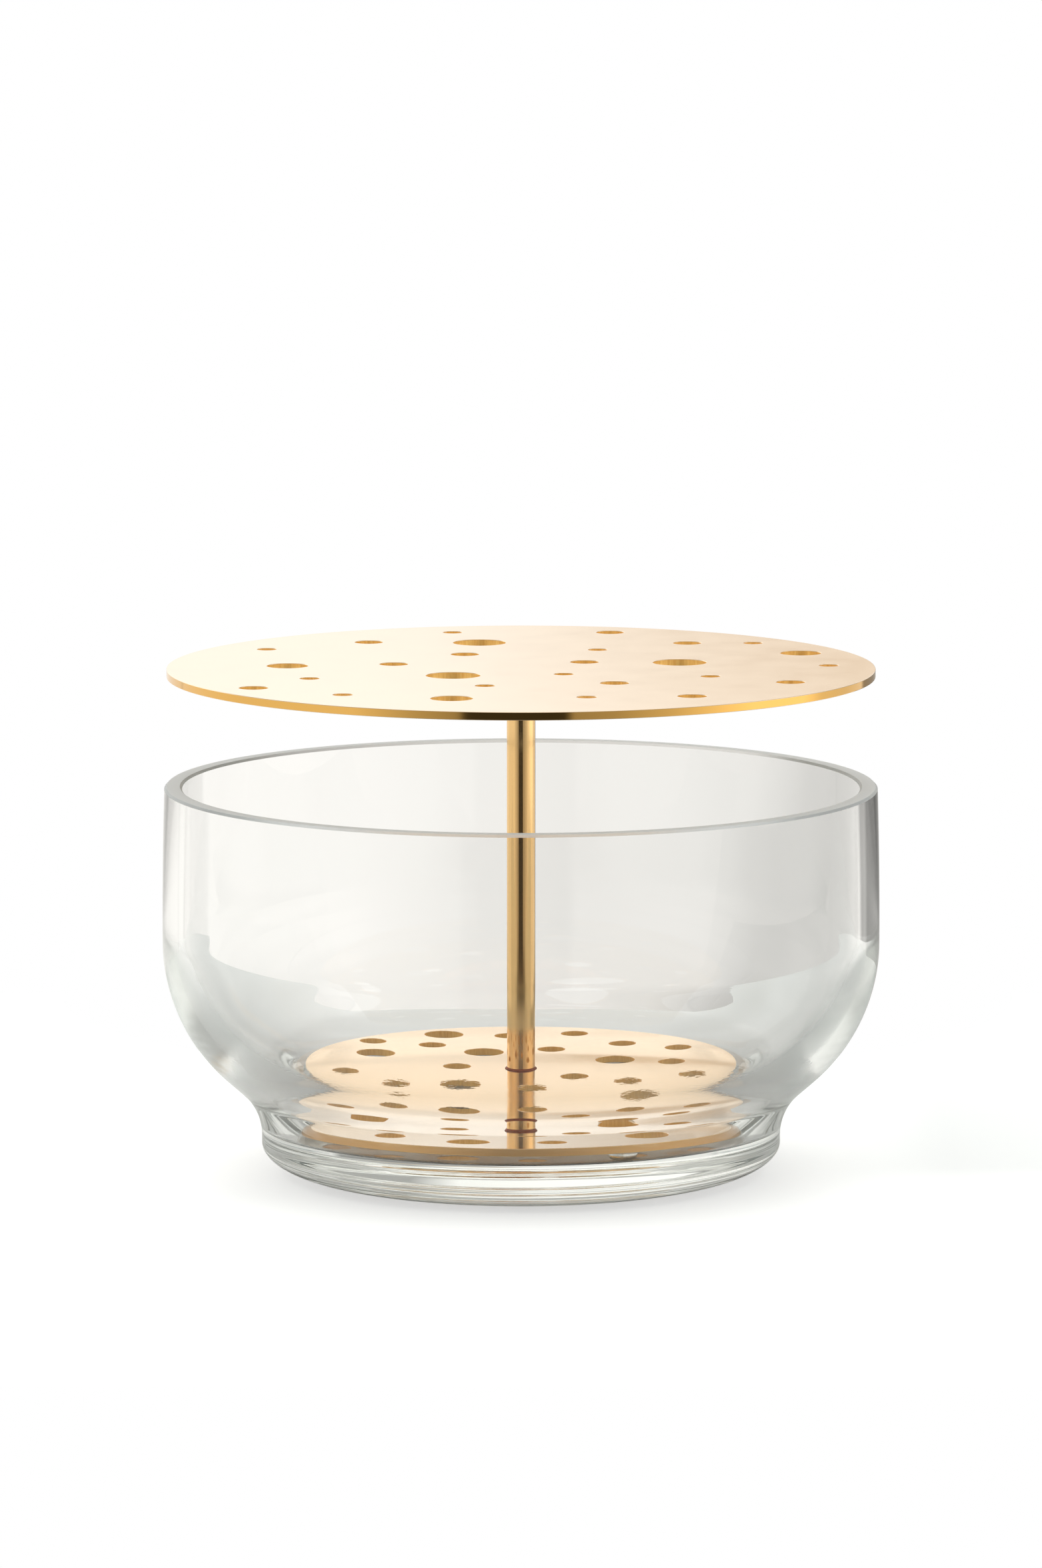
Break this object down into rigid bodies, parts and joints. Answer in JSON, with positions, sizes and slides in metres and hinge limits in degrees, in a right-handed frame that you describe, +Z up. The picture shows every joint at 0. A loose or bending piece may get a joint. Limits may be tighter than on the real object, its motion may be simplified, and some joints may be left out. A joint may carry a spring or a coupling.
{
  "type": "ikebana vase",
  "caption": "Round clear glass bowl on a foot, with a lift-out brass holder: two drilled discs on a central stem that hold and spread cut flowers.",
  "frame": {"origin": "centre of the vessel's underside, on the surface it stands on", "axes": "+Z up along the stem, +X to the right and -Y to the front as the picture shows it"},
  "size_m": [0.2, 0.2, 0.1415],
  "materials": {
    "clear_glass": "clear, fire-polished, with a ground and polished rim",
    "polished_brass": "polished and lacquered",
    "brazing_alloy": "dark, as flowed",
    "clear_rubber": "clear and glossy"
  },
  "bodies": {
    "vessel": {"glass_vessel": "clear_glass"},
    "flower_holder": {"bottom_plate": "polished_brass", "stem": "polished_brass", "lower_braze_ring": "brazing_alloy", "upper_braze_ring": "brazing_alloy", "top_plate": "polished_brass", "bumper_1": "clear_rubber", "bumper_2": "clear_rubber", "bumper_3": "clear_rubber"}
  },
  "joints": [
    {"name": "holder_lift", "type": "slide", "parent": "vessel", "child": "flower_holder", "axis": [0, 0, 1], "range_m": [0, 0.11]}
  ]
}
